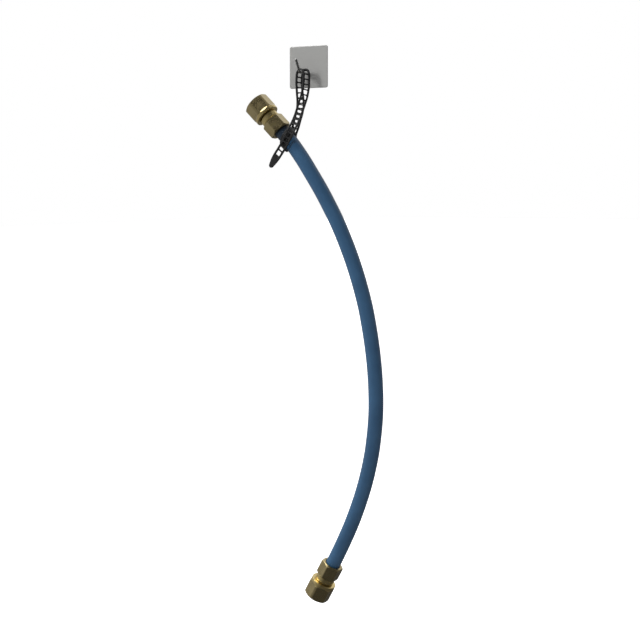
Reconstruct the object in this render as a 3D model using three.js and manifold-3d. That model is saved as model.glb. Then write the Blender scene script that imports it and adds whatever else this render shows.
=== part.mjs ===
// Filling hose: a blue hose with a brass swivel coupling at each end, hung by a ladder strap from a wall hook.
// Millimetres, +Z up. The wall is the plane y = 0, and everything hangs in front of it, towards -Y.
// The origin is the middle of the adhesive pad's back face.

import * as THREE from "three";
import { mergeVertices } from "three/addons/utils/BufferGeometryUtils.js";
import Module from "manifold-3d";

const wasm = await Module();
wasm.setup();

// Fits
const GAP = 0.35; // between pieces that nest, rest on one another or turn
const ROUND_SIDES = 28; // facets of a turned surface
const FACET = Math.cos(Math.PI / ROUND_SIDES); // a turned surface's flats lie at this share of its radius

// Hose
const HOSE_OD = 18;
const HOSE_BORE = 13;
const HOSE_SIDES = 12;
const HOSE_STEPS = 40;
const HOSE_OFF_WALL = 22; // from the wall to the hose's centreline
const HOSE_GRIPPED = 14.7; // length of hose inside each coupling
const HOSE_LEAD = 8; // the hose leaves each coupling straight for this length
const HOSE_ROUTE = [
  [-14.4, -89.9], [0.2, -109.1], [12.9, -128.2], [25, -147.2], [35.9, -166.2], [46, -185.1],
  [54.7, -203.9], [62.6, -222.8], [69.6, -241.6], [75.7, -260.5], [81, -279.3], [85.3, -298.2],
  [91.8, -336.2], [95.6, -374.4], [96.3, -413], [92.8, -452.2], [89.4, -472.1], [84.9, -492.2],
  [79.2, -512.5], [72.3, -533.1], [64.3, -554], [55.1, -575.1],
]; // x and z of the centreline between the couplings

// Couplings: the middle of the face that the hose enters, and the direction of the open end
const TOP_FACE = [-26.8, -76.8];
const TOP_DIRECTION_DEG = 134.8; // from +X towards +Z
const BOTTOM_FACE = [41.2, -604];
const BOTTOM_DIRECTION_DEG = -117.2;

// Clamp nut, which squeezes the hose on its tail
const CLAMP_FLATS = 25;
const CLAMP_LENGTH = 18;
const CLAMP_LIP = 3.2; // depth of the narrow mouth behind which the grip ring sits

// Brass tail with its cup, neck and spigot
const WATERWAY = 9;
const TAIL_ROOT_RADIUS = 5.3;
const BARB_RADIUS = 5.92;
const BARB_COUNT = 4;
const BARB_PITCH = 4;
const CUP_WALL = 0.95;
const CUP_DEPTH = 6;
const TAIL_LEAD = 2.5; // how far the tail runs on past its last barb, into the hose
const NECK_DIAMETER = 23;
const NECK_LENGTH = 7.2;
const SPIGOT_DIAMETER = 19.2;
const SPIGOT_LENGTH = 7.5;
const EDGE = 0.4; // chamfer on the turned edges
const CUT_SPARE = EDGE * 2.5; // how far a cutting shape runs on past the surface that it cuts

// Union nut with a G 3/4 thread
const UNION_FLATS = 28.8;
const UNION_LENGTH = 23.5;
const COLLAR_DIAMETER = 31;
const COLLAR_LENGTH = 6.2;
const COLLAR_SLOPE = 1.2; // the collar's front edge slopes down to the flats by this much
const THREAD_CORE = 24.2;
const THREAD_MOUTH = 26.6;
const CLAMP_CORNER_SHARE = 0.982; // a hexagon's corners are turned down to this share of their radius
const UNION_CORNER_SHARE = 0.957;
const TOP_TURN_DEG = 24; // a flat's direction, from the viewer's side round the axis
const BOTTOM_TURN_DEG = -24;

// Wire ring that holds the union nut on the spigot, and the flat washer
const WIRE = 1.7;
const WIRE_FROM_SHOULDER = 3.7; // from the neck's front shoulder to the middle of the wire
const GRIP_RING_LENGTH = 2.7;
const RING_SLIT = 2.5;
const WASHER_DIAMETER = 23.3;
const WASHER_HOLE = 14;
const WASHER_THICKNESS = 2;

// Wall hook
const PAD_SIZE = 46;
const PAD_THICKNESS = 1;
const PLATE_SIZE = 50;
const PLATE_THICKNESS = 1.5;
const PLATE_CORNER = 2.5;
const ROD_DIAMETER = 3;
const STEM_Z = -8.6;
const STEM_REACH = 25.5; // from the plate's front to the upturn
const TIP_REACH = 35.5;
const TIP_RISE = 13.4;
const ROD_BEND = 2.5;

// Ladder strap
const STRAP_WIDTH = 10;
const STRAP_THICKNESS = 2.2;
const RAIL_WIDTH = 2.4;
const CELL_PITCH = 6.1;
const RUNG_LENGTH = 1.4;
const TAIL_SOLID = 17.6;
const TIP_WIDTH = 6;
const WRAP_FROM_FACE = 13.4; // from the top clamp nut to the middle of the strap's turn round the hose
const WRAP_TILT_DEG = 20; // the turn leans up the hose on the hook's side
const WRAP_SLACK = 0.7; // the turn is an oval that hangs low by this much, where the hose starts to bend
const WRAP_START_DEG = 510; // from the viewer's side towards the hook, back to the strand that rises behind
const WRAP_END_DEG = 175;
const WRAP_SOLID_DEG = 230; // the part of the turn that has no cells
const ARCH_RADIUS = 8; // the strap's bend over the hook
const ARCH_OFF_WALL = 18.6;
const ARCH_FACING_DEG = 56.5; // the way from the rising strand to the falling one, from -Y towards +X
const RISING_STRAND = [
  [-16, 11.3, -78.6], [-12.9, 11.6, -71], [-10.2, 12, -62.6], [-7.4, 12.5, -54.5], [-5.9, 13, -46.8],
  [-5.6, 13.5, -39.8], [-6.1, 14, -32.7], [-6.6, 14.3, -25.6], [-6.9, 14.5, -19.2],
]; // x, distance from the wall and z of the strap's middle
const RISING_FACING_DEG = [-180, -178, -174, -165, -153, -141, -131, -125, -123.5]; // its outer face
const FALLING_STRAND = [
  [6.6, 23.4, -19.9], [6.4, 23.5, -24.5], [5.4, 23.7, -29.8], [4.6, 24.1, -34.5], [3.5, 24.6, -39.1],
  [2.2, 25.2, -43.2], [0.9, 25.9, -47.9], [-0.7, 26.8, -53.2], [-2, 27.8, -58], [-3.3, 29.3, -62.7],
  [-4.8, 31.2, -67.5], [-6.7, 33.4, -72.8], [-9.6, 34.9, -79.3], [-13.4, 35.1, -86.5], [-18.4, 34.9, -94.6],
  [-22.7, 34.3, -100.4], [-27.2, 33.6, -106.2], [-31.6, 33, -112], [-37.2, 32.3, -119.9],
];
const FALLING_FACING_DEG = [55, 50, 44, 36, 28, 20, 13, 7, 3, 0, 0, 0, 0, 0, 0, 0, 0, 0, 0];

const finish = (color, roughness, metalness) => new THREE.MeshStandardMaterial({ color, roughness, metalness });
const BLUE_RUBBER = finish(0x2f4f70, 0.55, 0);
const BRASS = finish(0x8a7a4c, 0.32, 1);
const RING_STEEL = finish(0xb9bbbd, 0.35, 1);
const FIBRE = finish(0x7d3b2a, 0.8, 0);
const BLACK_PLASTIC = finish(0x151515, 0.5, 0);
const STEEL = finish(0x9d9d9a, 0.4, 1);
const FOAM = finish(0x2b2b2b, 0.95, 0);

const radians = (degrees) => (degrees * Math.PI) / 180;

// A closed three.js geometry as a manifold solid with its faces outwards
function solidOf(geometry) {
  const bare = geometry.index ? geometry.toNonIndexed() : geometry.clone();
  bare.deleteAttribute("normal");
  bare.deleteAttribute("uv");
  const merged = mergeVertices(bare, 1e-4);
  const index = merged.index.array;
  const corners = [];
  for (let i = 0; i < index.length; i += 3) {
    const [a, b, c] = [index[i], index[i + 1], index[i + 2]];
    if (a !== b && b !== c && c !== a) corners.push(a, b, c);
  }
  const make = (list) => {
    const vertProperties = merged.attributes.position.array;
    return new wasm.Manifold(new wasm.Mesh({ numProp: 3, vertProperties, triVerts: new Uint32Array(list) }));
  };
  const made = make(corners);
  return made.volume() > 0 ? made : make(corners.reverse());
}

function meshOf(name, solid, material) {
  const { vertProperties, triVerts } = solid.getMesh();
  const geometry = new THREE.BufferGeometry();
  geometry.setAttribute("position", new THREE.BufferAttribute(vertProperties, 3));
  geometry.setIndex(new THREE.BufferAttribute(triVerts, 1));
  geometry.computeVertexNormals();
  const mesh = new THREE.Mesh(geometry, material);
  mesh.name = name;
  return mesh;
}

// A ring turned round +Y from [radius, height] points, closed on itself
function turned(profile) {
  const points = [...profile, profile[0]].map(([radius, height]) => new THREE.Vector2(radius, height));
  return solidOf(new THREE.LatheGeometry(points, ROUND_SIDES));
}

// A hexagonal bar along +Y, with one flat turned from +Z towards +X
function hexBar(flats, from, to, turnDegrees) {
  const cornerRadius = flats / 2 / Math.cos(Math.PI / 6);
  const geometry = new THREE.CylinderGeometry(cornerRadius, cornerRadius, to - from, 6);
  geometry.rotateY(Math.PI / 6 + radians(turnDegrees));
  geometry.translate(0, (from + to) / 2, 0);
  return solidOf(geometry);
}

function box(x, y, z, centre) {
  return solidOf(new THREE.BoxGeometry(x, y, z).translate(...centre));
}

const hexCorner = (flats, share) => (flats / 2 / Math.cos(Math.PI / 6)) * share;

// Heights along a coupling's axis, from the clamp nut's hose-side face to the open end
const CUP_FLOOR = HOSE_GRIPPED + GAP;
const CUP_MOUTH = CUP_FLOOR - CUP_DEPTH;
const NECK_REAR = CLAMP_LENGTH + GAP;
const SHOULDER = NECK_REAR + NECK_LENGTH;
const SPIGOT_END = SHOULDER + SPIGOT_LENGTH;
const UNION_REAR = SHOULDER + GAP;
const UNION_FRONT = UNION_REAR + UNION_LENGTH;
const WIRE_AT = SHOULDER + WIRE_FROM_SHOULDER;
const WASHER_REAR = SPIGOT_END + GAP;
const WASHER_FRONT = WASHER_REAR + WASHER_THICKNESS;
const TAIL_TIP = CUP_FLOOR - BARB_COUNT * BARB_PITCH - TAIL_LEAD;

// Radii that nest in one another
const CUP_INNER = (HOSE_OD / 2 + GAP) / FACET;
const CUP_OUTER = CUP_INNER + CUP_WALL;
const CLAMP_THREAD = (CUP_OUTER + GAP) / FACET;
const CLAMP_MOUTH = (HOSE_OD / 2 + GAP) / FACET;
const SPIGOT_RADIUS = SPIGOT_DIAMETER / 2;
const WIRE_MIDDLE = SPIGOT_RADIUS + GAP;
const SPIGOT_GROOVE = WIRE_MIDDLE * FACET - WIRE / 2 - GAP;
const UNION_GROOVE = (WIRE_MIDDLE + WIRE / 2 + GAP) / FACET;
const UNION_BORE = (SPIGOT_RADIUS + GAP) / FACET;
const GROOVE_HALF = WIRE / 2 + GAP;

function clampNut(turnDegrees) {
  const corner = hexCorner(CLAMP_FLATS, CLAMP_CORNER_SHARE);
  const face = CLAMP_FLATS / 2 - EDGE;
  const lean = (corner - face) * Math.tan(radians(30));
  const profile = [
    [CLAMP_MOUTH, EDGE * 2], [CLAMP_MOUTH + EDGE, 0], [face, 0], [corner, lean * 1.5],
    [corner, CLAMP_LENGTH - lean], [face, CLAMP_LENGTH], [CLAMP_THREAD + EDGE, CLAMP_LENGTH],
    [CLAMP_THREAD, CLAMP_LENGTH - EDGE], [CLAMP_THREAD, CLAMP_LIP + (CLAMP_THREAD - CLAMP_MOUTH) * 1.5],
    [CLAMP_MOUTH, CLAMP_LIP],
  ];
  return turned(profile).intersect(hexBar(CLAMP_FLATS, -CUT_SPARE, CLAMP_LENGTH + CUT_SPARE, turnDegrees));
}

// The split ring that the clamp nut's cone presses on to the hose
function gripRing() {
  const front = CUP_MOUTH - GAP;
  const rear = front - GRIP_RING_LENGTH;
  const outer = CUP_OUTER;
  const ring = turned([
    [CUP_INNER, rear], [outer - EDGE, rear], [outer, rear + EDGE], [outer, front], [CUP_INNER, front],
  ]);
  return ring.subtract(box(RING_SLIT, GRIP_RING_LENGTH * 2, outer * 2, [0, (front + rear) / 2, -outer]));
}

function barbs() {
  const points = [[TAIL_ROOT_RADIUS - EDGE, TAIL_TIP]];
  for (let i = 0; i < BARB_COUNT; i++) {
    const start = TAIL_TIP + i * BARB_PITCH;
    points.push([TAIL_ROOT_RADIUS, start + EDGE], [BARB_RADIUS, start + BARB_PITCH - EDGE]);
  }
  points.push([TAIL_ROOT_RADIUS, TAIL_TIP + BARB_COUNT * BARB_PITCH]);
  return points;
}

// Barbed tail, cup for the hose's end, neck and spigot, all turned from one bar
function tailBody() {
  const bore = WATERWAY / 2;
  const neck = NECK_DIAMETER / 2;
  return turned([
    [bore, TAIL_TIP], ...barbs(),
    [TAIL_ROOT_RADIUS, CUP_FLOOR], [CUP_INNER, CUP_FLOOR], [CUP_INNER, CUP_MOUTH + EDGE],
    [CUP_INNER + EDGE, CUP_MOUTH], [CUP_OUTER, CUP_MOUTH], [CUP_OUTER, NECK_REAR], [neck - EDGE, NECK_REAR],
    [neck, NECK_REAR + EDGE], [neck, SHOULDER - EDGE], [neck - EDGE, SHOULDER], [SPIGOT_RADIUS, SHOULDER],
    [SPIGOT_RADIUS, WIRE_AT - GROOVE_HALF], [SPIGOT_GROOVE, WIRE_AT - GROOVE_HALF],
    [SPIGOT_GROOVE, WIRE_AT + GROOVE_HALF], [SPIGOT_RADIUS, WIRE_AT + GROOVE_HALF],
    [SPIGOT_RADIUS, SPIGOT_END - EDGE], [SPIGOT_RADIUS - EDGE, SPIGOT_END], [bore, SPIGOT_END],
  ]);
}

function unionNut(turnDegrees) {
  const corner = hexCorner(UNION_FLATS, UNION_CORNER_SHARE);
  const collar = COLLAR_DIAMETER / 2;
  const collarEnd = UNION_REAR + COLLAR_LENGTH;
  const hexFoot = UNION_FLATS / 2 - EDGE;
  const frontFace = UNION_FLATS / 2 - EDGE * 1.5;
  const core = THREAD_CORE / 2;
  const blank = turned([
    [UNION_BORE, UNION_REAR], [collar - EDGE * 2, UNION_REAR], [collar, UNION_REAR + EDGE * 2],
    [collar, collarEnd - COLLAR_SLOPE], [hexFoot, collarEnd], [corner, collarEnd + (corner - hexFoot) * 0.8],
    [corner, UNION_FRONT - (corner - frontFace) * Math.tan(radians(30))], [frontFace, UNION_FRONT],
    [THREAD_MOUTH / 2, UNION_FRONT], [core, UNION_FRONT - (THREAD_MOUTH - THREAD_CORE) / 2],
    [core, SPIGOT_END - EDGE], [UNION_BORE, SPIGOT_END - EDGE], [UNION_BORE, WIRE_AT + GROOVE_HALF],
    [UNION_GROOVE, WIRE_AT + GROOVE_HALF], [UNION_GROOVE, WIRE_AT - GROOVE_HALF],
    [UNION_BORE, WIRE_AT - GROOVE_HALF],
  ]);
  const hexPart = hexBar(UNION_FLATS, collarEnd, UNION_FRONT + CUT_SPARE, turnDegrees);
  const collarBlock = COLLAR_LENGTH + CUT_SPARE;
  const collarPart = box(corner * 2, collarBlock, corner * 2, [0, collarEnd - collarBlock / 2, 0]);
  return blank.intersect(hexPart.add(collarPart));
}

// Spring wire in the two facing grooves: it lets the nut turn and keeps it on the spigot
function retainingRing() {
  const half = WIRE / 2;
  const cut = half * 0.41;
  const ring = turned([
    [WIRE_MIDDLE - half, WIRE_AT - cut], [WIRE_MIDDLE - cut, WIRE_AT - half], [WIRE_MIDDLE + cut, WIRE_AT - half],
    [WIRE_MIDDLE + half, WIRE_AT - cut], [WIRE_MIDDLE + half, WIRE_AT + cut], [WIRE_MIDDLE + cut, WIRE_AT + half],
    [WIRE_MIDDLE - cut, WIRE_AT + half], [WIRE_MIDDLE - half, WIRE_AT + cut],
  ]);
  return ring.subtract(box(RING_SLIT, WIRE * 2, WIRE_MIDDLE * 2, [0, WIRE_AT, -WIRE_MIDDLE]));
}

function sealingWasher() {
  const [hole, rim] = [WASHER_HOLE / 2, WASHER_DIAMETER / 2];
  return turned([[hole, WASHER_REAR], [rim, WASHER_REAR], [rim, WASHER_FRONT], [hole, WASHER_FRONT]]);
}

// Where a coupling stands: its local +Y is the direction of the open end, and its local +Z faces the viewer
function couplingPlace([x, z], directionDegrees) {
  const axis = new THREE.Vector3(Math.cos(radians(directionDegrees)), 0, Math.sin(radians(directionDegrees)));
  const toViewer = new THREE.Vector3(0, -1, 0);
  const face = new THREE.Vector3(x, -HOSE_OFF_WALL, z);
  const along = (height) => face.clone().addScaledVector(axis, height);
  return { axis, toViewer, side: axis.clone().cross(toViewer), along };
}

function coupling(end, place, turnDegrees) {
  const group = new THREE.Group();
  const matrix = new THREE.Matrix4().makeBasis(place.side, place.axis, place.toViewer);
  matrix.setPosition(place.along(0));
  group.applyMatrix4(matrix);
  const pieces = [
    ["clamp_nut", clampNut(turnDegrees), BRASS],
    ["grip_ring", gripRing(), RING_STEEL],
    ["tail_body", tailBody(), BRASS],
    ["union_nut", unionNut(turnDegrees), BRASS],
    ["retaining_ring", retainingRing(), RING_STEEL],
    ["sealing_washer", sealingWasher(), FIBRE],
  ];
  for (const [name, solid, material] of pieces) group.add(meshOf(`${end}_${name}`, solid, material));
  return group;
}

const topPlace = couplingPlace(TOP_FACE, TOP_DIRECTION_DEG);
const bottomPlace = couplingPlace(BOTTOM_FACE, BOTTOM_DIRECTION_DEG);

function hose() {
  const route = [
    topPlace.along(HOSE_GRIPPED), topPlace.along(0), topPlace.along(-HOSE_LEAD),
    ...HOSE_ROUTE.map(([x, z]) => new THREE.Vector3(x, -HOSE_OFF_WALL, z)),
    bottomPlace.along(-HOSE_LEAD), bottomPlace.along(0), bottomPlace.along(HOSE_GRIPPED),
  ];
  const ring = (diameter) => {
    const corners = [];
    for (let i = 0; i < HOSE_SIDES; i++) {
      const angle = (i * 2 * Math.PI) / HOSE_SIDES;
      corners.push(new THREE.Vector2(Math.cos(angle), Math.sin(angle)).multiplyScalar(diameter / 2));
    }
    return corners;
  };
  const section = new THREE.Shape(ring(HOSE_OD));
  section.holes.push(new THREE.Path(ring(HOSE_BORE)));
  const extrudePath = new THREE.CatmullRomCurve3(route);
  return solidOf(new THREE.ExtrudeGeometry(section, { steps: HOSE_STEPS, extrudePath }));
}

// A square with round corners, as thick as it says, its back at the given distance from the wall
function squarePlate(size, corner, thickness, offWall, bevel) {
  const half = size / 2 - bevel;
  const outline = new THREE.Shape();
  const turns = [[1, 1], [-1, 1], [-1, -1], [1, -1]];
  turns.forEach(([sx, sy], i) => {
    const from = radians(90 * i);
    outline.absarc(sx * (half - corner), sy * (half - corner), corner, from, from + Math.PI / 2, false);
  });
  const flat = { depth: thickness - 2 * bevel, bevelEnabled: bevel > 0, bevelSize: bevel, bevelThickness: bevel };
  const geometry = new THREE.ExtrudeGeometry(outline, { ...flat, bevelSegments: 1, curveSegments: 4 });
  geometry.rotateX(Math.PI / 2);
  geometry.translate(0, -offWall - bevel, 0);
  return solidOf(geometry);
}

const PLATE_FRONT = PAD_THICKNESS + PLATE_THICKNESS;

function hookRod() {
  const lean = new THREE.Vector2(TIP_REACH - STEM_REACH, TIP_RISE).normalize();
  const at = (reach, rise) => new THREE.Vector3(0, -PLATE_FRONT - reach, STEM_Z + rise);
  const knee = STEM_REACH;
  const bent = at(knee + ROD_BEND * lean.x, ROD_BEND * lean.y);
  const path = new THREE.CurvePath();
  path.add(new THREE.LineCurve3(at(0, 0), at(knee - ROD_BEND, 0)));
  path.add(new THREE.QuadraticBezierCurve3(at(knee - ROD_BEND, 0), at(knee, 0), bent));
  path.add(new THREE.LineCurve3(bent, at(TIP_REACH, TIP_RISE)));
  const circle = new THREE.Shape().absarc(0, 0, ROD_DIAMETER / 2, 0, 2 * Math.PI, false);
  const rod = solidOf(new THREE.ExtrudeGeometry(circle, { steps: 24, curveSegments: 6, extrudePath: path }));
  const tip = at(TIP_REACH, TIP_RISE);
  return rod.add(solidOf(new THREE.SphereGeometry(ROD_DIAMETER / 2, 12, 8).translate(tip.x, tip.y, tip.z)));
}

const WRAP_RADIUS = HOSE_OD / 2 + GAP + STRAP_THICKNESS / 2;

// The strap's turn round the hose: from its locked head, over the front, to the back where it leaves
function wrapPoints() {
  const centre = topPlace.along(-WRAP_FROM_FACE).addScaledVector(topPlace.side, -WRAP_SLACK);
  const leaning = topPlace.side.clone().addScaledVector(topPlace.axis, Math.tan(radians(WRAP_TILT_DEG)));
  leaning.multiplyScalar(1 + WRAP_SLACK / WRAP_RADIUS);
  const points = [];
  for (let degrees = WRAP_START_DEG; degrees >= WRAP_END_DEG; degrees -= 5) {
    const towardsViewer = topPlace.toViewer.clone().multiplyScalar(Math.cos(radians(degrees)));
    const outward = towardsViewer.clone().addScaledVector(topPlace.side, Math.sin(radians(degrees)));
    const reach = towardsViewer.addScaledVector(leaning, Math.sin(radians(degrees)));
    points.push({ place: centre.clone().addScaledVector(reach, WRAP_RADIUS), outward });
  }
  return points;
}

const facing = (degrees) => new THREE.Vector3(Math.sin(radians(degrees)), -Math.cos(radians(degrees)), 0);

function strandPoints(places, facingDegrees) {
  return places.map(([x, offWall, z], i) => ({
    place: new THREE.Vector3(x, -offWall, z),
    outward: facing(facingDegrees[i]),
  }));
}

// The bend lies askew over the hook's stem, so its inner face meets the stem under the strap's two edges
function archPoints() {
  const innerRadius = ARCH_RADIUS - STRAP_THICKNESS / 2;
  const restsAt = (STRAP_WIDTH / 2 + ROD_DIAMETER / 2) / Math.tan(radians(ARCH_FACING_DEG));
  const centreZ = STEM_Z + ROD_DIAMETER / 2 + GAP - Math.sqrt(innerRadius ** 2 - restsAt ** 2);
  const centre = new THREE.Vector3(0, -ARCH_OFF_WALL, centreZ);
  const forward = facing(ARCH_FACING_DEG);
  const points = [];
  for (let degrees = 180; degrees >= 0; degrees -= 15) {
    const outward = forward.clone().multiplyScalar(Math.cos(radians(degrees)));
    outward.z = Math.sin(radians(degrees));
    points.push({ place: centre.clone().addScaledVector(outward, ARCH_RADIUS), outward });
  }
  return points;
}

// The strap's centreline with the direction of its outer face, by length along it
function strapCourse() {
  const rising = strandPoints(RISING_STRAND, RISING_FACING_DEG);
  const falling = strandPoints(FALLING_STRAND, FALLING_FACING_DEG);
  const points = [...wrapPoints(), ...rising, ...archPoints(), ...falling];
  const curve = new THREE.CatmullRomCurve3(points.map((point) => point.place));
  const samples = 40;
  const stations = [];
  let length = 0;
  for (let i = 0; i <= (points.length - 1) * samples; i++) {
    const whole = Math.min(Math.floor(i / samples), points.length - 2);
    const share = i / samples - whole;
    const place = curve.getPoint(i / samples / (points.length - 1));
    const outward = points[whole].outward.clone().lerp(points[whole + 1].outward, share).normalize();
    if (i > 0) length += place.distanceTo(stations[i - 1].place);
    stations.push({ place, outward, length });
  }
  const at = (distance) => {
    let next = stations.findIndex((station) => station.length >= distance);
    if (next < 1) next = distance <= 0 ? 1 : stations.length - 1;
    const [a, b] = [stations[next - 1], stations[next]];
    const share = (distance - a.length) / (b.length - a.length);
    const along = b.place.clone().sub(a.place).normalize();
    const outward = a.outward.clone().lerp(b.outward, share);
    outward.addScaledVector(along, -outward.dot(along)).normalize();
    return { place: a.place.clone().lerp(b.place, share), outward, across: along.clone().cross(outward) };
  };
  return { length, at };
}

// Cuts along the strap: each has its distance, its half width, and whether a cell is open after it
function strapCuts(length) {
  const cells = Math.floor((length - WRAP_RADIUS * radians(WRAP_SOLID_DEG) - TAIL_SOLID) / CELL_PITCH);
  const first = length - TAIL_SOLID - cells * CELL_PITCH;
  const solidSteps = Math.round(first / (CELL_PITCH / 2));
  const cuts = [];
  for (let i = 0; i < solidSteps; i++) {
    cuts.push({ distance: (first * i) / solidSteps, half: STRAP_WIDTH / 2, open: false });
  }
  for (let i = 0; i < cells; i++) {
    const start = first + i * CELL_PITCH;
    const opening = CELL_PITCH - RUNG_LENGTH;
    cuts.push({ distance: start, half: STRAP_WIDTH / 2, open: true });
    cuts.push({ distance: start + opening / 2, half: STRAP_WIDTH / 2, open: true });
    cuts.push({ distance: start + opening, half: STRAP_WIDTH / 2, open: false });
  }
  const tipRadius = TIP_WIDTH / 2;
  const taperLength = TAIL_SOLID - tipRadius;
  for (let i = 0; i <= 3; i++) {
    const share = i / 3;
    const half = STRAP_WIDTH / 2 + (tipRadius - STRAP_WIDTH / 2) * share * share;
    cuts.push({ distance: length - TAIL_SOLID + taperLength * share, half, open: false });
  }
  for (const degrees of [30, 55, 75]) {
    const distance = length - tipRadius * (1 - Math.sin(radians(degrees)));
    cuts.push({ distance, half: tipRadius * Math.cos(radians(degrees)), open: false });
  }
  return cuts;
}

// A stretch of the ladder: rails on both sides, and rungs between its open cells
function ladder(course, cuts) {
  const vertices = [];
  const triangles = [];
  for (const { distance, half } of cuts) {
    const { place, outward, across } = course.at(distance);
    const inner = Math.min(STRAP_WIDTH / 2 - RAIL_WIDTH, half * 0.48);
    for (const offset of [-half, -inner, inner, half]) {
      for (const side of [-STRAP_THICKNESS / 2, STRAP_THICKNESS / 2]) {
        const corner = place.clone().addScaledVector(across, offset).addScaledVector(outward, side);
        vertices.push(corner.x, corner.y, corner.z);
      }
    }
  }
  const id = (cut, column, side) => cut * 8 + column * 2 + side;
  const quad = (a, b, c, d) => triangles.push(a, b, c, a, c, d);
  const wall = (cut, column, facing) => {
    const [a, b] = [id(cut, column, 0), id(cut, column, 1)];
    const [c, d] = [id(cut + 1, column, 1), id(cut + 1, column, 0)];
    if (facing < 0) quad(a, b, c, d);
    else quad(d, c, b, a);
  };
  const crossWall = (cut, column, facing) => {
    const [a, b] = [id(cut, column, 0), id(cut, column + 1, 0)];
    const [c, d] = [id(cut, column + 1, 1), id(cut, column, 1)];
    if (facing < 0) quad(a, b, c, d);
    else quad(d, c, b, a);
  };
  const last = cuts.length - 1;
  for (let cut = 0; cut < last; cut++) {
    const { open } = cuts[cut];
    for (let column = 0; column < 3; column++) {
      if (column === 1 && open) continue;
      quad(id(cut, column, 0), id(cut + 1, column, 0), id(cut + 1, column + 1, 0), id(cut, column + 1, 0));
      quad(id(cut, column + 1, 1), id(cut + 1, column + 1, 1), id(cut + 1, column, 1), id(cut, column, 1));
    }
    wall(cut, 0, -1);
    wall(cut, 3, 1);
    if (open) {
      wall(cut, 1, 1);
      wall(cut, 2, -1);
    }
    if (cut > 0 && open !== cuts[cut - 1].open) crossWall(cut, 1, open ? 1 : -1);
  }
  for (let column = 0; column < 3; column++) {
    if (column !== 1 || !cuts[0].open) crossWall(0, column, -1);
    if (column !== 1 || !cuts[last - 1].open) crossWall(last, column, 1);
  }
  const geometry = new THREE.BufferGeometry();
  geometry.setAttribute("position", new THREE.BufferAttribute(new Float32Array(vertices), 3));
  geometry.setIndex(triangles);
  return solidOf(geometry);
}

// The strap crosses itself at its head and where its strands meet, so it is made in three stretches
function hangingStrap() {
  const course = strapCourse();
  const cuts = strapCuts(course.length);
  const closedCuts = cuts.map((cut, i) => (cut.open ? -1 : i)).filter((i) => i >= 0);
  const nearest = (distance) =>
    closedCuts.reduce((best, i) =>
      Math.abs(cuts[i].distance - distance) < Math.abs(cuts[best].distance - distance) ? i : best,
    );
  const wrapLength = WRAP_RADIUS * radians(WRAP_START_DEG - WRAP_END_DEG);
  const splits = [0, nearest(wrapLength * 0.8), cuts.length - 1];
  const stretches = splits.slice(1).map((end, i) => ladder(course, cuts.slice(splits[i], end + 1)));
  return stretches.reduce((whole, stretch) => whole.add(stretch));
}

const fillingHose = new THREE.Group();
fillingHose.add(
  meshOf("adhesive_pad", squarePlate(PAD_SIZE, PLATE_CORNER, PAD_THICKNESS, 0, 0), FOAM),
  meshOf("hook_plate", squarePlate(PLATE_SIZE, PLATE_CORNER, PLATE_THICKNESS, PAD_THICKNESS, EDGE), STEEL),
  meshOf("hook_rod", hookRod(), STEEL),
  meshOf("hanging_strap", hangingStrap(), BLACK_PLASTIC),
  meshOf("hose", hose(), BLUE_RUBBER),
  coupling("top", topPlace, TOP_TURN_DEG),
  coupling("bottom", bottomPlace, BOTTOM_TURN_DEG),
);

export default fillingHose;
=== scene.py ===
# %% [markdown]
# # A blue filling hose on its wall hook
# The frame gives every rigid piece its place, in metres, with +Z up and the wall behind the plane y = 0.
# This lesson puts smooth, finished pieces over the plain solids. The camera comes first, then the finishes,
# the couplings' places and the hose, which is drawn along its listed route between them.

import math

import bmesh
import bpy
from mathutils import Matrix, Vector


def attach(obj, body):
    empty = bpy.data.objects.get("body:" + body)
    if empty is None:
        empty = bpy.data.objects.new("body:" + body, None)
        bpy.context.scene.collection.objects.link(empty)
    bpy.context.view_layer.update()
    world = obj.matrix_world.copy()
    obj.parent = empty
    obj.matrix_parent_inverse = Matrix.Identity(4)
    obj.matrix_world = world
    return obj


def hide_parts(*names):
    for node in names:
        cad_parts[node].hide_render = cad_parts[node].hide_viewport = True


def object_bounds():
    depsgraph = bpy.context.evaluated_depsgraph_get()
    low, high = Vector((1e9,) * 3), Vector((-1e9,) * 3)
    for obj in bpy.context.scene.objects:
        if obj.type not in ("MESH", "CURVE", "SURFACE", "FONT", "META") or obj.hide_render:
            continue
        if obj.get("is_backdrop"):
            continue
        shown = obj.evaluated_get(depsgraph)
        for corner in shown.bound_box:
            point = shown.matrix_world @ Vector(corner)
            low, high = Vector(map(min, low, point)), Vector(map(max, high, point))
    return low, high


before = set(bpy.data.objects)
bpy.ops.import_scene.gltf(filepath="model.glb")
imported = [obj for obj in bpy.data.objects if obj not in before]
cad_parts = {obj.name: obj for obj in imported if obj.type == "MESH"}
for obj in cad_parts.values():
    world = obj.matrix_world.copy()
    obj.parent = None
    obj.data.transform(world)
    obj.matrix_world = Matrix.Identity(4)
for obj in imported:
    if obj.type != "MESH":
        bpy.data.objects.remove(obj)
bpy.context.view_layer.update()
MM = 0.001

# %% [markdown]
# ## Camera
# The hose is seen from the right and a little from above. A lens of about 65 mm at 1.4 m gives the same
# slant to the plate's edges and the same shrinking towards its far side.

# %% Camera
CAMERA_PLACE = (0.5750, -1.2887, -0.1524)
CAMERA_TURN_DEG = 23.52
CAMERA_DROP_DEG = 6.23

camera_data = bpy.data.cameras.new("camera")
camera_data.lens = 64.69
camera_data.sensor_width = 36
camera = bpy.data.objects.new("camera", camera_data)
camera.location = CAMERA_PLACE
camera.rotation_euler = (math.radians(90 - CAMERA_DROP_DEG), 0, math.radians(CAMERA_TURN_DEG))
bpy.context.scene.collection.objects.link(camera)
bpy.context.scene.camera = camera
bpy.context.scene.view_settings.view_transform = "Standard"
print("camera at", CAMERA_PLACE)

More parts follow.
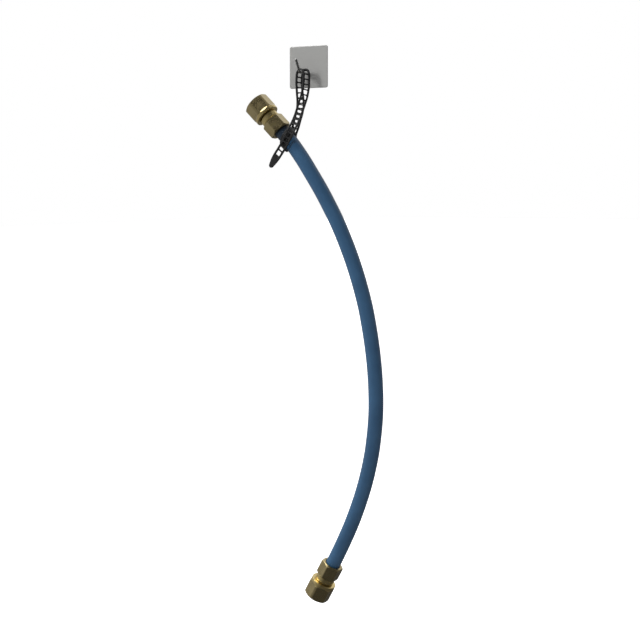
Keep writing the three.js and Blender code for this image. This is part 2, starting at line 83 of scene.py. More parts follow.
# %% [markdown]
# ## Mesh helpers
# Every piece ends as a plain mesh whose object sits at the origin. One helper turns lists of corners and
# faces into such a mesh, lays a map of millimetres on it, and shades it smooth between its sharp edges.


# %% Mesh helpers
def new_object(name, data):
    """An object in the scene with the given mesh or lamp."""
    thing = bpy.data.objects.new(name, data)
    bpy.context.scene.collection.objects.link(thing)
    return thing


def new_piece(name, vertices, faces, material, map_points=None, sharp_deg=35):
    """A mesh piece; map_points holds one (u, v) in millimetres for each corner of each face."""
    mesh = bpy.data.meshes.new(name)
    mesh.from_pydata([tuple(v) for v in vertices], [], faces)
    if map_points is not None:
        layer = mesh.uv_layers.new(name="surface_mm")
        flat = [value for face in map_points for corner in face for value in corner]
        layer.data.foreach_set("uv", flat)
    mesh.materials.append(material)
    mesh.shade_smooth()
    mesh.set_sharp_from_angle(angle=math.radians(sharp_deg))
    return new_object(name, mesh)


def ring_faces(rings, count):
    """Faces of a shell through rings of points that follow one another, with a cap at each end."""
    faces = []
    for i in range(rings - 1):
        near, far = i * count, (i + 1) * count
        for k in range(count):
            n = (k + 1) % count
            faces.append([near + k, near + n, far + n, far + k])
    faces.append(list(range(count)))
    faces.append([(rings - 1) * count + k for k in range(count)])
    return faces


def baked(piece):
    """The piece with its modifiers made real, so that nothing is left live on it."""
    graph = bpy.context.evaluated_depsgraph_get()
    finished = bpy.data.meshes.new_from_object(piece.evaluated_get(graph))
    piece.modifiers.clear()
    piece.data = finished
    return piece


def smooth_course(points, steps):
    """Points on a smooth line through the given ones, with even steps between each two of them."""
    ends = [points[0] * 2 - points[1], *points, points[-1] * 2 - points[-2]]
    course = []
    for i in range(len(points) - 1):
        a, b, c, d = ends[i : i + 4]
        before, between, after = (math.sqrt((q - p).length) for p, q in ((a, b), (b, c), (c, d)))
        leave = ((b - a) / before - (c - a) / (before + between) + (c - b) / between) * between
        arrive = ((c - b) / between - (d - b) / (between + after) + (d - c) / after) * between
        for k in range(steps):
            t = k / steps
            bend = (b * 2 - c * 2 + leave + arrive) * t**3 + (c * 3 - b * 3 - leave * 2 - arrive) * t**2
            course.append(bend + leave * t + b)
    course.append(points[-1].copy())
    return course


# %% [markdown]
# ## Finishes
# Each finish is a short chain of nodes: a colour that drifts a little over the surface and, on most, a
# bump with the marks that the making left. On rubber and brass the marks read the map in millimetres.


# %% Node helpers
NOISE_LOW, NOISE_HIGH = 0.3, 0.7


def new_finish(name, metallic=0.0, roughness=0.5):
    finish = bpy.data.materials.new(name)
    finish.use_nodes = True
    surface = finish.node_tree.nodes["Principled BSDF"]
    surface.inputs["Metallic"].default_value = metallic
    surface.inputs["Roughness"].default_value = roughness
    return finish


def add_node(finish, kind):
    return finish.node_tree.nodes.new(kind)


def join(finish, source, target):
    finish.node_tree.links.new(source, target)


def math_node(tree, operation, *values):
    """A calculation on numbers or on other nodes' outputs."""
    node = tree.nodes.new("ShaderNodeMath")
    node.operation = operation
    for socket, value in zip(node.inputs, values):
        if isinstance(value, (int, float)):
            socket.default_value = value
        else:
            tree.links.new(value, socket)
    return node.outputs["Value"]


def spread_over(tree, value, start, stop, low, high):
    """The value between start and stop, carried over to the range between low and high."""
    node = tree.nodes.new("ShaderNodeMapRange")
    for label, number in (("From Min", start), ("From Max", stop), ("To Min", low), ("To Max", high)):
        node.inputs[label].default_value = number
    tree.links.new(value, node.inputs["Value"])
    return node.outputs["Result"]


def surface_of(finish):
    return finish.node_tree.nodes["Principled BSDF"]


def linear(red, green, blue):
    """A colour written as on screen, from 0 to 255, for a shader's socket."""
    parts = []
    for value in (red, green, blue):
        share = value / 255
        parts.append(share / 12.92 if share <= 0.04045 else ((share + 0.055) / 1.055) ** 2.4)
    return (*parts, 1)


def stretched_noise(finish, coordinate, scale, detail=3.0):
    """Noise on a coordinate that is scaled differently along its axes."""
    source = add_node(finish, "ShaderNodeTexCoord")
    mapping = add_node(finish, "ShaderNodeMapping")
    mapping.inputs["Scale"].default_value = scale
    noise = add_node(finish, "ShaderNodeTexNoise")
    noise.inputs["Scale"].default_value = 1.0
    noise.inputs["Detail"].default_value = detail
    join(finish, source.outputs[coordinate], mapping.inputs["Vector"])
    join(finish, mapping.outputs["Vector"], noise.inputs["Vector"])
    return noise.outputs["Fac"]


def two_colours(finish, factor, first, second):
    """A base colour between two, which goes over the range that noise mostly keeps to."""
    ramp = add_node(finish, "ShaderNodeValToRGB")
    for element, position, colour in zip(ramp.color_ramp.elements, (NOISE_LOW, NOISE_HIGH), (first, second)):
        element.position = position
        element.color = colour
    join(finish, factor, ramp.inputs["Fac"])
    join(finish, ramp.outputs["Color"], surface_of(finish).inputs["Base Color"])
    return ramp.outputs["Color"]


def painted_shade_before(finish, colour, start, stop, share):
    """Painted shade: the colour times a share that grows to 1 between two distances in mm along the piece."""
    spot = add_node(finish, "ShaderNodeTexCoord")
    split = add_node(finish, "ShaderNodeSeparateXYZ")
    scaled = add_node(finish, "ShaderNodeVectorMath")
    scaled.operation = "SCALE"
    join(finish, spot.outputs["UV"], split.inputs["Vector"])
    join(finish, colour, scaled.inputs["Vector"])
    rise = spread_over(finish.node_tree, split.outputs["Y"], start, stop, share, 1)
    join(finish, rise, scaled.inputs["Scale"])
    join(finish, scaled.outputs["Vector"], surface_of(finish).inputs["Base Color"])


def varied_roughness(finish, factor, low, high):
    roughness = spread_over(finish.node_tree, factor, NOISE_LOW, NOISE_HIGH, low, high)
    join(finish, roughness, surface_of(finish).inputs["Roughness"])


def raised(finish, height, distance, strength, under=None):
    """A bump of the given height in metres, on top of an earlier one if there is one."""
    bump = add_node(finish, "ShaderNodeBump")
    bump.inputs["Distance"].default_value = distance
    bump.inputs["Strength"].default_value = strength
    join(finish, height, bump.inputs["Height"])
    if under is not None:
        join(finish, under, bump.inputs["Normal"])
    join(finish, bump.outputs["Normal"], surface_of(finish).inputs["Normal"])
    return bump.outputs["Normal"]


# %% Blue rubber
blue_rubber = new_finish("blue_rubber", roughness=0.5)
drift = stretched_noise(blue_rubber, "Object", (40, 40, 40))
surface_of(blue_rubber).inputs["Specular IOR Level"].default_value = 0.75
rubber_colour = two_colours(blue_rubber, drift, linear(32, 73, 107), linear(41, 83, 118))
# Painted shade: the hose is darkened from its end inside the top coupling up to the strap's wrap, and fades
# out under the wrap.
painted_shade_before(blue_rubber, rubber_colour, 25, 34, 0.2)
varied_roughness(blue_rubber, drift, 0.46, 0.58)
drawn = stretched_noise(blue_rubber, "UV", (1.2, 0.12, 1), detail=4)
grain = raised(blue_rubber, drawn, 0.00015, 0.35)
cloth = stretched_noise(blue_rubber, "UV", (3.0, 3.0, 1), detail=2)
raised(blue_rubber, cloth, 0.00006, 0.4, under=grain)
print("finish:", blue_rubber.name)


# %% Brass, steel, plastic, fibre and foam
def brass(name, roughness, first, second, marks):
    """Tarnished brass with the marks of its tool or die, whose size in mm goes by the map."""
    finish = new_finish(name, metallic=1.0, roughness=roughness)
    tarnish = stretched_noise(finish, "Object", (120, 120, 120), detail=5)
    two_colours(finish, tarnish, first, second)
    varied_roughness(finish, tarnish, 0.22, 0.34)
    raised(finish, stretched_noise(finish, "UV", marks, detail=4), 0.00003, 0.6)
    return finish


turned_brass = brass("turned_brass", 0.3, linear(190, 171, 118), linear(210, 190, 134), (0.03, 9, 1))
drawn_brass = brass("drawn_brass", 0.32, linear(156, 142, 104), linear(174, 159, 117), (5, 0.08, 1))

brushed_steel = new_finish("brushed_steel", metallic=0.25, roughness=0.5)
strokes = stretched_noise(brushed_steel, "Object", (60, 400, 6000), detail=3)
two_colours(brushed_steel, strokes, linear(164, 164, 162), linear(176, 176, 174))
varied_roughness(brushed_steel, strokes, 0.45, 0.58)
raised(brushed_steel, strokes, 0.00002, 0.4)

bright_steel = new_finish("bright_steel", metallic=1.0, roughness=0.25)
drawing_marks = stretched_noise(bright_steel, "Object", (900, 900, 900), detail=2)
two_colours(bright_steel, drawing_marks, linear(146, 146, 144), linear(172, 172, 170))
varied_roughness(bright_steel, drawing_marks, 0.2, 0.32)

black_plastic = new_finish("black_plastic", roughness=0.42)
mottle = stretched_noise(black_plastic, "Object", (500, 500, 500), detail=4)
two_colours(black_plastic, mottle, linear(29, 29, 29), linear(42, 42, 43))
surface_of(black_plastic).inputs["Specular IOR Level"].default_value = 0.3
varied_roughness(black_plastic, mottle, 0.42, 0.56)
raised(black_plastic, mottle, 0.00004, 0.4)

red_fibre = new_finish("red_fibre", roughness=0.85)
fibres = stretched_noise(red_fibre, "Object", (1500, 1500, 1500), detail=5)
two_colours(red_fibre, fibres, linear(112, 48, 34), linear(142, 70, 50))
raised(red_fibre, fibres, 0.00008, 0.6)

foam = new_finish("foam", roughness=0.95)
cells = stretched_noise(foam, "Object", (2500, 2500, 2500), detail=2)
two_colours(foam, cells, linear(34, 34, 34), linear(58, 58, 58))
raised(foam, cells, 0.00015, 0.7)
print("finishes:", len(bpy.data.materials))

# %% [markdown]
# ## Where the couplings stand
# Both couplings are alike. Each has a middle point, where the hose enters it, and a direction. A matrix
# built from that direction lets every turned piece be drawn upright and then be laid in place.

# %% Where the couplings stand
HOSE_OFF_WALL = 22 * MM
COUPLINGS = {
    "top": {"face": (-26.8, -76.8), "direction_deg": 134.8, "flat_deg": 24},
    "bottom": {"face": (41.2, -604), "direction_deg": -117.2, "flat_deg": -24},
}
TO_VIEWER = Vector((0, -1, 0))


def coupling_matrix(end):
    """Local +Y is the direction of the open end, and local +Z faces the viewer."""
    place = COUPLINGS[end]
    angle = math.radians(place["direction_deg"])
    axis = Vector((math.cos(angle), 0, math.sin(angle)))
    side = axis.cross(TO_VIEWER)
    x, z = place["face"]
    origin = Vector((x * MM, -HOSE_OFF_WALL, z * MM))
    matrix = Matrix((side, axis, TO_VIEWER)).transposed().to_4x4()
    matrix.translation = origin
    return matrix


def along_axis(end, height):
    return coupling_matrix(end) @ Vector((0, height, 0))


# %% [markdown]
# ## The hose
# The hose leaves the top coupling, bows out to the right under its own stiffness and comes back to the
# lower coupling. It is a tube drawn along the points of its middle line, with a true bore, and its ends
# are hidden inside the couplings.

# %% The hose's line
HOSE_OD = 18 * MM
HOSE_BORE = 13 * MM
HOSE_GRIPPED = 14.7 * MM
HOSE_LEAD = 8 * MM
HOSE_STEPS, HOSE_SIDES = 10, 56
HOSE_ROUTE = [
    (-0.0144, -0.0899), (0.0002, -0.1091), (0.0129, -0.1282), (0.025, -0.1472), (0.0359, -0.1662),
    (0.046, -0.1851), (0.0547, -0.2039), (0.0626, -0.2228), (0.0696, -0.2416), (0.0757, -0.2605),
    (0.081, -0.2793), (0.0853, -0.2982), (0.0918, -0.3362), (0.0956, -0.3744), (0.0963, -0.413),
    (0.0928, -0.4522), (0.0894, -0.4721), (0.0849, -0.4922), (0.0792, -0.5125), (0.0723, -0.5331),
    (0.0643, -0.554), (0.0551, -0.5751),
]
hose_points = [along_axis("top", HOSE_GRIPPED), along_axis("top", 0), along_axis("top", -HOSE_LEAD)]
hose_points += [Vector((x, -HOSE_OFF_WALL, z)) for x, z in HOSE_ROUTE]
hose_points += [along_axis("bottom", -HOSE_LEAD), along_axis("bottom", 0), along_axis("bottom", HOSE_GRIPPED)]
hose_line = smooth_course(hose_points, HOSE_STEPS)


# %% The hose's tube
def tube(name, line, outer, bore, sides, material):
    """A hollow tube along a line that lies in a plane parallel to the wall."""
    vertices, faces, spots = [], [], []
    run = 0.0
    rows = []
    for i, place in enumerate(line):
        ahead = line[min(i + 1, len(line) - 1)]
        behind = line[max(i - 1, 0)]
        tangent = (ahead - behind).normalized()
        across = tangent.cross(TO_VIEWER)
        if i:
            run += (place - line[i - 1]).length
        rows.append(run / MM)
        for radius in (outer / 2, bore / 2):
            for k in range(sides):
                angle = 2 * math.pi * k / sides
                vertices.append(place + (TO_VIEWER * math.cos(angle) + across * math.sin(angle)) * radius)
    girth = math.pi * outer / MM

    def corner(row, layer, k):
        return (row * 2 + layer) * sides + k % sides

    for i in range(len(line) - 1):
        for k in range(sides):
            faces.append([corner(i, 0, k), corner(i, 0, k + 1), corner(i + 1, 0, k + 1), corner(i + 1, 0, k)])
            faces.append([corner(i, 1, k), corner(i + 1, 1, k), corner(i + 1, 1, k + 1), corner(i, 1, k + 1)])
            u0, u1 = girth * k / sides, girth * (k + 1) / sides
            v0, v1 = rows[i], rows[i + 1]
            spots.append([(u0, v0), (u1, v0), (u1, v1), (u0, v1)])
            spots.append([(u0, v0), (u0, v1), (u1, v1), (u1, v0)])
    last = len(line) - 1
    for k in range(sides):
        u0, u1 = girth * k / sides, girth * (k + 1) / sides
        faces.append([corner(0, 0, k), corner(0, 1, k), corner(0, 1, k + 1), corner(0, 0, k + 1)])
        faces.append([corner(last, 0, k), corner(last, 0, k + 1), corner(last, 1, k + 1), corner(last, 1, k)])
        spots.append([(u0, 0), (u0, 2), (u1, 2), (u1, 0)])
        spots.append([(u0, 0), (u1, 0), (u1, 2), (u0, 2)])
    piece = new_piece(name, vertices, faces, material, spots)
    fix_outward(piece)
    return piece


def fix_outward(piece):
    """Faces of a closed shell turned outwards."""
    shell = bmesh.new()
    shell.from_mesh(piece.data)
    bmesh.ops.recalc_face_normals(shell, faces=shell.faces)
    shell.to_mesh(piece.data)
    shell.free()


hose = tube("rubber_hose", hose_line, HOSE_OD, HOSE_BORE, HOSE_SIDES, blue_rubber)
print("hose faces:", len(hose.data.polygons))

# %% [markdown]
# ## The couplings' heights and radii
# The brass pieces nest inside one another with a third of a millimetre between them, so their sizes are
# worked out from one another, starting at the face that the hose enters.

# %% The couplings' heights and radii
GAP = 0.35
EDGE = 0.4
SOLID_SIDES = 28
FACET = math.cos(math.pi / SOLID_SIDES)
CLAMP_FLATS, CLAMP_LENGTH, CLAMP_LIP = 25, 18, 3.2
WATERWAY, TAIL_ROOT_RADIUS, BARB_RADIUS, BARB_COUNT, BARB_PITCH = 9, 5.3, 5.92, 4, 4
CUP_WALL, CUP_DEPTH, TAIL_LEAD, NECK_DIAMETER, NECK_LENGTH = 0.95, 6, 2.5, 23, 7.2
SPIGOT_DIAMETER, SPIGOT_LENGTH = 19.2, 7.5
UNION_FLATS, UNION_LENGTH, COLLAR_DIAMETER, COLLAR_LENGTH = 28.8, 23.5, 31, 6.2
COLLAR_SLOPE, RUN_OUT, COLLAR_FACES = 1.2, 2.1, 4
THREAD_CORE, THREAD_MOUTH, THREAD_PITCH, THREAD_DEPTH = 24.2, 26.6, 1.814, 1.0
CLAMP_CORNER_SHARE, UNION_CORNER_SHARE = 0.982, 0.957
WIRE, WIRE_FROM_SHOULDER = 1.7, 3.7
WASHER_DIAMETER, WASHER_HOLE, WASHER_THICKNESS = 23.3, 14, 2
HEX_SLANT = math.tan(math.radians(30))
REAR_SLANT = HEX_SLANT * 1.5
CORNER_SLANT = 0.8
CONE_SLOPE = 1.5
MAP_PER_DEGREE = 0.2
TAIL_SIDES, WASHER_SIDES, LATHE_SHARP_DEG = 96, 72, 17
CLAMP_FLAT_STEPS, UNION_FLAT_STEPS, FLAT_ROWS, THREAD_ROWS = 12, 14, 6, 84
GROOVE_TOP, GROOVE_STEEPNESS = 1.6, 4.4

cup_floor = HOSE_GRIPPED / MM + GAP
cup_mouth = cup_floor - CUP_DEPTH
neck_rear = CLAMP_LENGTH + GAP
shoulder = neck_rear + NECK_LENGTH
spigot_end = shoulder + SPIGOT_LENGTH
union_rear = shoulder + GAP
union_front = union_rear + UNION_LENGTH
wire_at = shoulder + WIRE_FROM_SHOULDER
washer_rear = spigot_end + GAP
washer_front = washer_rear + WASHER_THICKNESS
tail_tip = cup_floor - BARB_COUNT * BARB_PITCH - TAIL_LEAD
cup_inner = (HOSE_OD / MM / 2 + GAP) / FACET
cup_outer = cup_inner + CUP_WALL
clamp_thread = (cup_outer + GAP) / FACET
clamp_mouth = (HOSE_OD / MM / 2 + GAP) / FACET
spigot_radius = SPIGOT_DIAMETER / 2
wire_middle = spigot_radius + GAP
spigot_groove = wire_middle * FACET - WIRE / 2 - GAP
union_groove = (wire_middle + WIRE / 2 + GAP) / FACET
union_bore = (spigot_radius + GAP) / FACET
groove_half = WIRE / 2 + GAP
print("coupling length in mm:", round(union_front, 2))

# %% [markdown]
# ## Turned and hexagonal pieces
# A lathe makes a piece from its outline alone. A nut is a lathe piece too, apart from its six flats:
# going round it, the outside radius grows from a flat's middle to a corner and shrinks again. So each
# column of points gets the outline for its own radius, and the slanted ends then cut the flats in the
# curved line of a real nut.


# %% Turned and hexagonal pieces
def hex_columns(flats, corner, flat_deg, steps):
    """Angles round a nut with the outside radius at each, crowded where a corner is turned off."""
    half = flats / 2
    turned_off = math.degrees(math.acos(half / corner))
    shares = [turned_off * (2 * k / steps - 1) for k in range(steps + 1)]
    columns = []
    for flat in range(6):
        for share in shares:
            columns.append((flat_deg + flat * 60 + share, half / math.cos(math.radians(share))))
        columns.append((flat_deg + flat * 60 + 30, corner))
    return columns


def revolve(name, end, columns, outline_at, material):
    """A closed ring; outline_at(angle, index) gives as many (radius, height) points in every column."""
    matrix = coupling_matrix(end)
    outlines = [outline_at(angle, k) for k, angle in enumerate(columns)]
    count = len(outlines[0])
    vertices, faces, spots = [], [], []
    for angle, outline in zip(columns, outlines):
        turn = math.radians(angle)
        for radius, height in outline:
            spot = Vector((radius * math.sin(turn), height, radius * math.cos(turn)))
            vertices.append(matrix @ (spot * MM))
    run = [0.0]
    for (r0, h0), (r1, h1) in zip(outlines[0], outlines[0][1:] + outlines[0][:1]):
        run.append(run[-1] + math.hypot(r1 - r0, h1 - h0))
    total = len(columns)
    for k in range(total):
        n = (k + 1) % total
        u0 = columns[k] * MAP_PER_DEGREE
        u1 = (columns[n] + (360 if n == 0 else 0)) * MAP_PER_DEGREE
        for i in range(count):
            j = (i + 1) % count
            faces.append([k * count + i, n * count + i, n * count + j, k * count + j])
            spots.append([(u0, run[i]), (u1, run[i]), (u1, run[i + 1]), (u0, run[i + 1])])
    piece = new_piece(name, vertices, faces, material, spots, LATHE_SHARP_DEG)
    fix_outward(piece)
    return piece


def lathe(name, end, profile, sides, material):
    """A closed ring with the same outline all round."""
    columns = [360 * k / sides for k in range(sides)]
    return revolve(name, end, columns, lambda angle, k: profile, material)


def rows_between(radius, start, stop, count):
    return [(radius, start + (stop - start) * k / count) for k in range(1, count)]


# %% Clamp nut
def clamp_nut(end):
    corner = CLAMP_FLATS / math.sqrt(3) * CLAMP_CORNER_SHARE
    face = CLAMP_FLATS / 2 - EDGE
    columns = hex_columns(CLAMP_FLATS, corner, COUPLINGS[end]["flat_deg"], CLAMP_FLAT_STEPS)

    def outline(angle, k):
        radius = columns[k][1]
        rear = (radius - face) * REAR_SLANT
        front = CLAMP_LENGTH - (radius - face) * HEX_SLANT
        return [
            (clamp_mouth, EDGE * 2), (clamp_mouth + EDGE, 0), (face, 0), (radius, rear),
            *rows_between(radius, rear, front, FLAT_ROWS), (radius, front), (face, CLAMP_LENGTH),
            (clamp_thread + EDGE, CLAMP_LENGTH), (clamp_thread, CLAMP_LENGTH - EDGE),
            (clamp_thread, CLAMP_LIP + (clamp_thread - clamp_mouth) * CONE_SLOPE), (clamp_mouth, CLAMP_LIP),
        ]

    piece = revolve(f"{end}_clamp_nut_brass", end, [c[0] for c in columns], outline, drawn_brass)
    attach(piece, "hung_hose")
    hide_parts(f"{end}_clamp_nut")


for end in COUPLINGS:
    clamp_nut(end)
print("clamp nuts: 2")


# %% Tail body
def tail_body(end):
    bore, neck = WATERWAY / 2, NECK_DIAMETER / 2
    barbs = [(TAIL_ROOT_RADIUS - EDGE, tail_tip)]
    for i in range(BARB_COUNT):
        start = tail_tip + i * BARB_PITCH
        barbs += [(TAIL_ROOT_RADIUS, start + EDGE), (BARB_RADIUS, start + BARB_PITCH - EDGE)]
    barbs.append((TAIL_ROOT_RADIUS, tail_tip + BARB_COUNT * BARB_PITCH))
    profile = [
        (bore, tail_tip), *barbs, (TAIL_ROOT_RADIUS, cup_floor), (cup_inner, cup_floor),
        (cup_inner, cup_mouth + EDGE), (cup_inner + EDGE, cup_mouth), (cup_outer, cup_mouth),
        (cup_outer, neck_rear), (neck - EDGE, neck_rear), (neck, neck_rear + EDGE),
        (neck, shoulder - EDGE), (neck - EDGE, shoulder), (spigot_radius, shoulder),
        (spigot_radius, wire_at - groove_half), (spigot_groove, wire_at - groove_half),
        (spigot_groove, wire_at + groove_half), (spigot_radius, wire_at + groove_half),
        (spigot_radius, spigot_end - EDGE), (spigot_radius - EDGE, spigot_end), (bore, spigot_end),
    ]
    piece = lathe(f"{end}_tail_brass", end, profile, TAIL_SIDES, turned_brass)
    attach(piece, "hung_hose")
    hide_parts(f"{end}_tail_body")


for end in COUPLINGS:
    tail_body(end)
print("tail bodies: 2")


# %% [markdown]
# ## Union nut
# The large nut turns freely on the spigot and has a pipe thread inside. The thread is one spiral groove:
# a point's depth depends on its height minus its share of a turn, so the groove climbs by one pitch each
# time round. Each flat ends in a slanted hollow in the round collar, where its cutter comes out.


# %% Union nut
def thread_radius(height, angle, start, stop):
    """Radius of the threaded bore: a groove with slanted sides that fades out at both ends."""
    phase = ((height - angle / 360 * THREAD_PITCH) / THREAD_PITCH) % 1
    groove = max(0.0, min(1.0, GROOVE_TOP - abs(phase - 0.5) * GROOVE_STEEPNESS))
    fade = max(0.0, min(1.0, (height - start) / THREAD_PITCH, (stop - height) / THREAD_PITCH * 2))
    return THREAD_CORE / 2 + THREAD_DEPTH * groove * fade


def union_nut(end):
    corner = UNION_FLATS / math.sqrt(3) * UNION_CORNER_SHARE
    collar = COLLAR_DIAMETER / 2
    collar_end = union_rear + COLLAR_LENGTH
    hex_foot = UNION_FLATS / 2 - EDGE
    front_face = UNION_FLATS / 2 - EDGE * 1.5
    mouth = THREAD_MOUTH / 2
    thread_top = union_front - (THREAD_MOUTH - THREAD_CORE) / 2
    columns = hex_columns(UNION_FLATS, corner, COUPLINGS[end]["flat_deg"], UNION_FLAT_STEPS)

    def outline(angle, k):
        radius = columns[k][1]
        if radius < collar:
            foot = collar_end - COLLAR_SLOPE * (radius - hex_foot) / (collar - hex_foot)
            ramp = foot - (collar - radius) * RUN_OUT
        else:
            foot = collar_end - COLLAR_SLOPE + (radius - collar) * CORNER_SLANT
            ramp = collar_end - COLLAR_SLOPE
        front = union_front - (radius - front_face) * HEX_SLANT
        thread = []
        for row in range(THREAD_ROWS + 1):
            height = thread_top + (washer_front - thread_top) * row / THREAD_ROWS
            thread.append((thread_radius(height, angle, washer_front, union_front), height))
        return [
            (union_bore, union_rear), (collar - EDGE * 2, union_rear),
            (collar - EDGE * 0.6, union_rear + EDGE * 0.6), (collar, union_rear + EDGE * 2),
            (collar, ramp), (radius, foot),
            *rows_between(radius, foot, front, FLAT_ROWS), (radius, front), (front_face, union_front),
            (mouth, union_front), *thread,
            (THREAD_CORE / 2, spigot_end - EDGE), (union_bore, spigot_end - EDGE),
            (union_bore, wire_at + groove_half), (union_groove, wire_at + groove_half),
            (union_groove, wire_at - groove_half), (union_bore, wire_at - groove_half),
        ]

    piece = revolve(f"{end}_union_nut_brass", end, [c[0] for c in columns], outline, drawn_brass)
    piece.data.materials.append(turned_brass)
    count = len(outline(0, 0))
    for face in piece.data.polygons:
        if face.index % count < COLLAR_FACES:
            face.material_index = 1
    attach(piece, f"{end}_swivel_nut")
    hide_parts(f"{end}_union_nut")


for end in COUPLINGS:
    union_nut(end)
print("union nuts: 2")


# %% Washers
def washer(end):
    hole, rim, soft = WASHER_HOLE / 2, WASHER_DIAMETER / 2, 0.25
    profile = [
        (hole, washer_rear + soft), (hole + soft, washer_rear),
        (rim - soft, washer_rear), (rim, washer_rear + soft),
        (rim, washer_front - soft), (rim - soft, washer_front),
        (hole + soft, washer_front), (hole, washer_front - soft),
    ]
    piece = lathe(f"{end}_fibre_washer", end, profile, WASHER_SIDES, red_fibre)
    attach(piece, "hung_hose")
    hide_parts(f"{end}_sealing_washer")


for end in COUPLINGS:
    washer(end)
    for ring in ("grip_ring", "retaining_ring"):
        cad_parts[f"{end}_{ring}"].data.materials.clear()
        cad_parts[f"{end}_{ring}"].data.materials.append(bright_steel)
print("washers: 2")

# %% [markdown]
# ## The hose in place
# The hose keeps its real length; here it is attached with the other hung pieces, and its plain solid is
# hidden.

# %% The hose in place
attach(hose, "hung_hose")
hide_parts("hose")
tuple(along_axis("top", 0))

# %% [markdown]
# ## The wall hook
# A square steel plate sits on an adhesive pad. The rod is welded to the plate and bends up at its end, so
# that the strap can't slide off.

# %% Plate and pad
PAD_SIZE, PAD_THICKNESS = 46, 1
PLATE_SIZE, PLATE_THICKNESS, PLATE_CORNER = 50, 1.5, 2.5


def square_plate(name, size, corner, back, front, edge, material):
    """A square with round corners between two distances from the wall, its front edges rounder."""
    half = size / 2 - corner
    front_edge = edge * 2
    layers = [(corner - edge, back), (corner, back + edge), (corner, front - front_edge)]
    for degrees in (30, 60, 90):
        turn = math.radians(degrees)
        layers.append((corner - front_edge * (1 - math.cos(turn)), front - front_edge * (1 - math.sin(turn))))
    steps = 8
    outline = []
    for quarter, (sx, sz) in enumerate(((1, 1), (-1, 1), (-1, -1), (1, -1))):
        for k in range(steps + 1):
            angle = math.radians(90 * quarter + 90 * k / steps)
            outline.append((sx * half, sz * half, math.cos(angle), math.sin(angle)))
    vertices = []
    for radius, off_wall in layers:
        for x, z, cx, cz in outline:
            vertices.append(Vector((x + radius * cx, -off_wall, z + radius * cz)) * MM)
    faces = ring_faces(len(layers), len(outline))
    faces[-1].reverse()  # against its neighbours, so that the flat front keeps a sharp rim
    piece = new_piece(name, vertices, faces, material, sharp_deg=30)
    fix_outward(piece)
    return piece


plate_front = PAD_THICKNESS + PLATE_THICKNESS
plate = square_plate("steel_plate", PLATE_SIZE, PLATE_CORNER, PAD_THICKNESS, plate_front, 0.4, brushed_steel)
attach(plate, "hung_hose")
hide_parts("hook_plate")
pad = square_plate("foam_pad", PAD_SIZE, PLATE_CORNER, 0, PAD_THICKNESS, 0.15, foam)
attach(pad, "hung_hose")
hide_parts("adhesive_pad")
print("plate front at", plate_front, "mm")

# %% Rod
ROD_DIAMETER, STEM_Z, STEM_REACH, TIP_REACH, TIP_RISE, ROD_BEND = 3, -8.6, 25.5, 35.5, 13.4, 2.5
ROD_SIDES, BEND_STEPS = 24, 9


def rod_line():
    """The rod's middle line in the plane x = 0, with its bend drawn as a short curve."""
    lean = Vector((0, -(TIP_REACH - STEM_REACH), TIP_RISE)).normalized()
    knee = Vector((0, -plate_front - STEM_REACH, STEM_Z))
    start = knee + Vector((0, ROD_BEND, 0))
    bent = knee + lean * ROD_BEND
    tip = Vector((0, -plate_front - TIP_REACH, STEM_Z + TIP_RISE))
    line = [Vector((0, -plate_front, STEM_Z)), start]
    for k in range(1, BEND_STEPS):
        t = k / BEND_STEPS
        line.append(start * (1 - t) ** 2 + knee * 2 * t * (1 - t) + bent * t**2)
    return [*line, bent, tip], lean


def rod():
    line, lean = rod_line()
    radius = ROD_DIAMETER / 2
    rings = []
    for i, place in enumerate(line):
        tangent = (line[min(i + 1, len(line) - 1)] - line[max(i - 1, 0)]).normalized()
        rings.append((place, tangent, radius))
    for degrees in (20, 40, 60, 80):
        angle = math.radians(degrees)
        rings.append((line[-1] + lean * radius * math.sin(angle), lean, radius * math.cos(angle)))
    vertices = []
    sideways = Vector((1, 0, 0))
    for place, tangent, size in rings:
        up = sideways.cross(tangent)
        for k in range(ROD_SIDES):
            angle = 2 * math.pi * k / ROD_SIDES
            vertices.append((place + (sideways * math.cos(angle) + up * math.sin(angle)) * size) * MM)
    piece = new_piece("steel_rod", vertices, ring_faces(len(rings), ROD_SIDES), bright_steel, sharp_deg=40)
    fix_outward(piece)
    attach(piece, "hung_hose")
    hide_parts("hook_rod")


rod()
print("rod diameter in mm:", ROD_DIAMETER)

# %% [markdown]
# ## The ladder strap
# The strap is moulded in one piece: two rails joined by short rungs, with a solid tapered tail. It is
# locked round the hose, climbs to the hook, bends over the rod and comes back down across the hose. Its
# line is given by a few points with the direction that its outer face looks in. The rails are drawn along
# that line, and Geometry Nodes set one rung between each two openings.

# %% The strap's line
STRAP_WIDTH, STRAP_THICKNESS, RAIL_WIDTH = 10, 2.2, 2.4
CELL_PITCH, RUNG_LENGTH, TAIL_SOLID, TIP_WIDTH = 6.1, 1.4, 17.6, 6
WRAP_FROM_FACE, WRAP_TILT_DEG, WRAP_SLACK = 13.4, 20, 0.7
WRAP_START_DEG, WRAP_END_DEG, WRAP_STEP_DEG, WRAP_SOLID_DEG = 510, 175, 5, 230
ARCH_RADIUS, ARCH_OFF_WALL, ARCH_FACING_DEG, ARCH_STEP_DEG = 8, 18.6, 56.5, 15
RISING_STRAND = [
    (-16, 11.3, -78.6), (-12.9, 11.6, -71), (-10.2, 12, -62.6), (-7.4, 12.5, -54.5), (-5.9, 13, -46.8),
    (-5.6, 13.5, -39.8), (-6.1, 14, -32.7), (-6.6, 14.3, -25.6), (-6.9, 14.5, -19.2),
]
RISING_FACING_DEG = [-180, -178, -174, -165, -153, -141, -131, -125, -123.5]
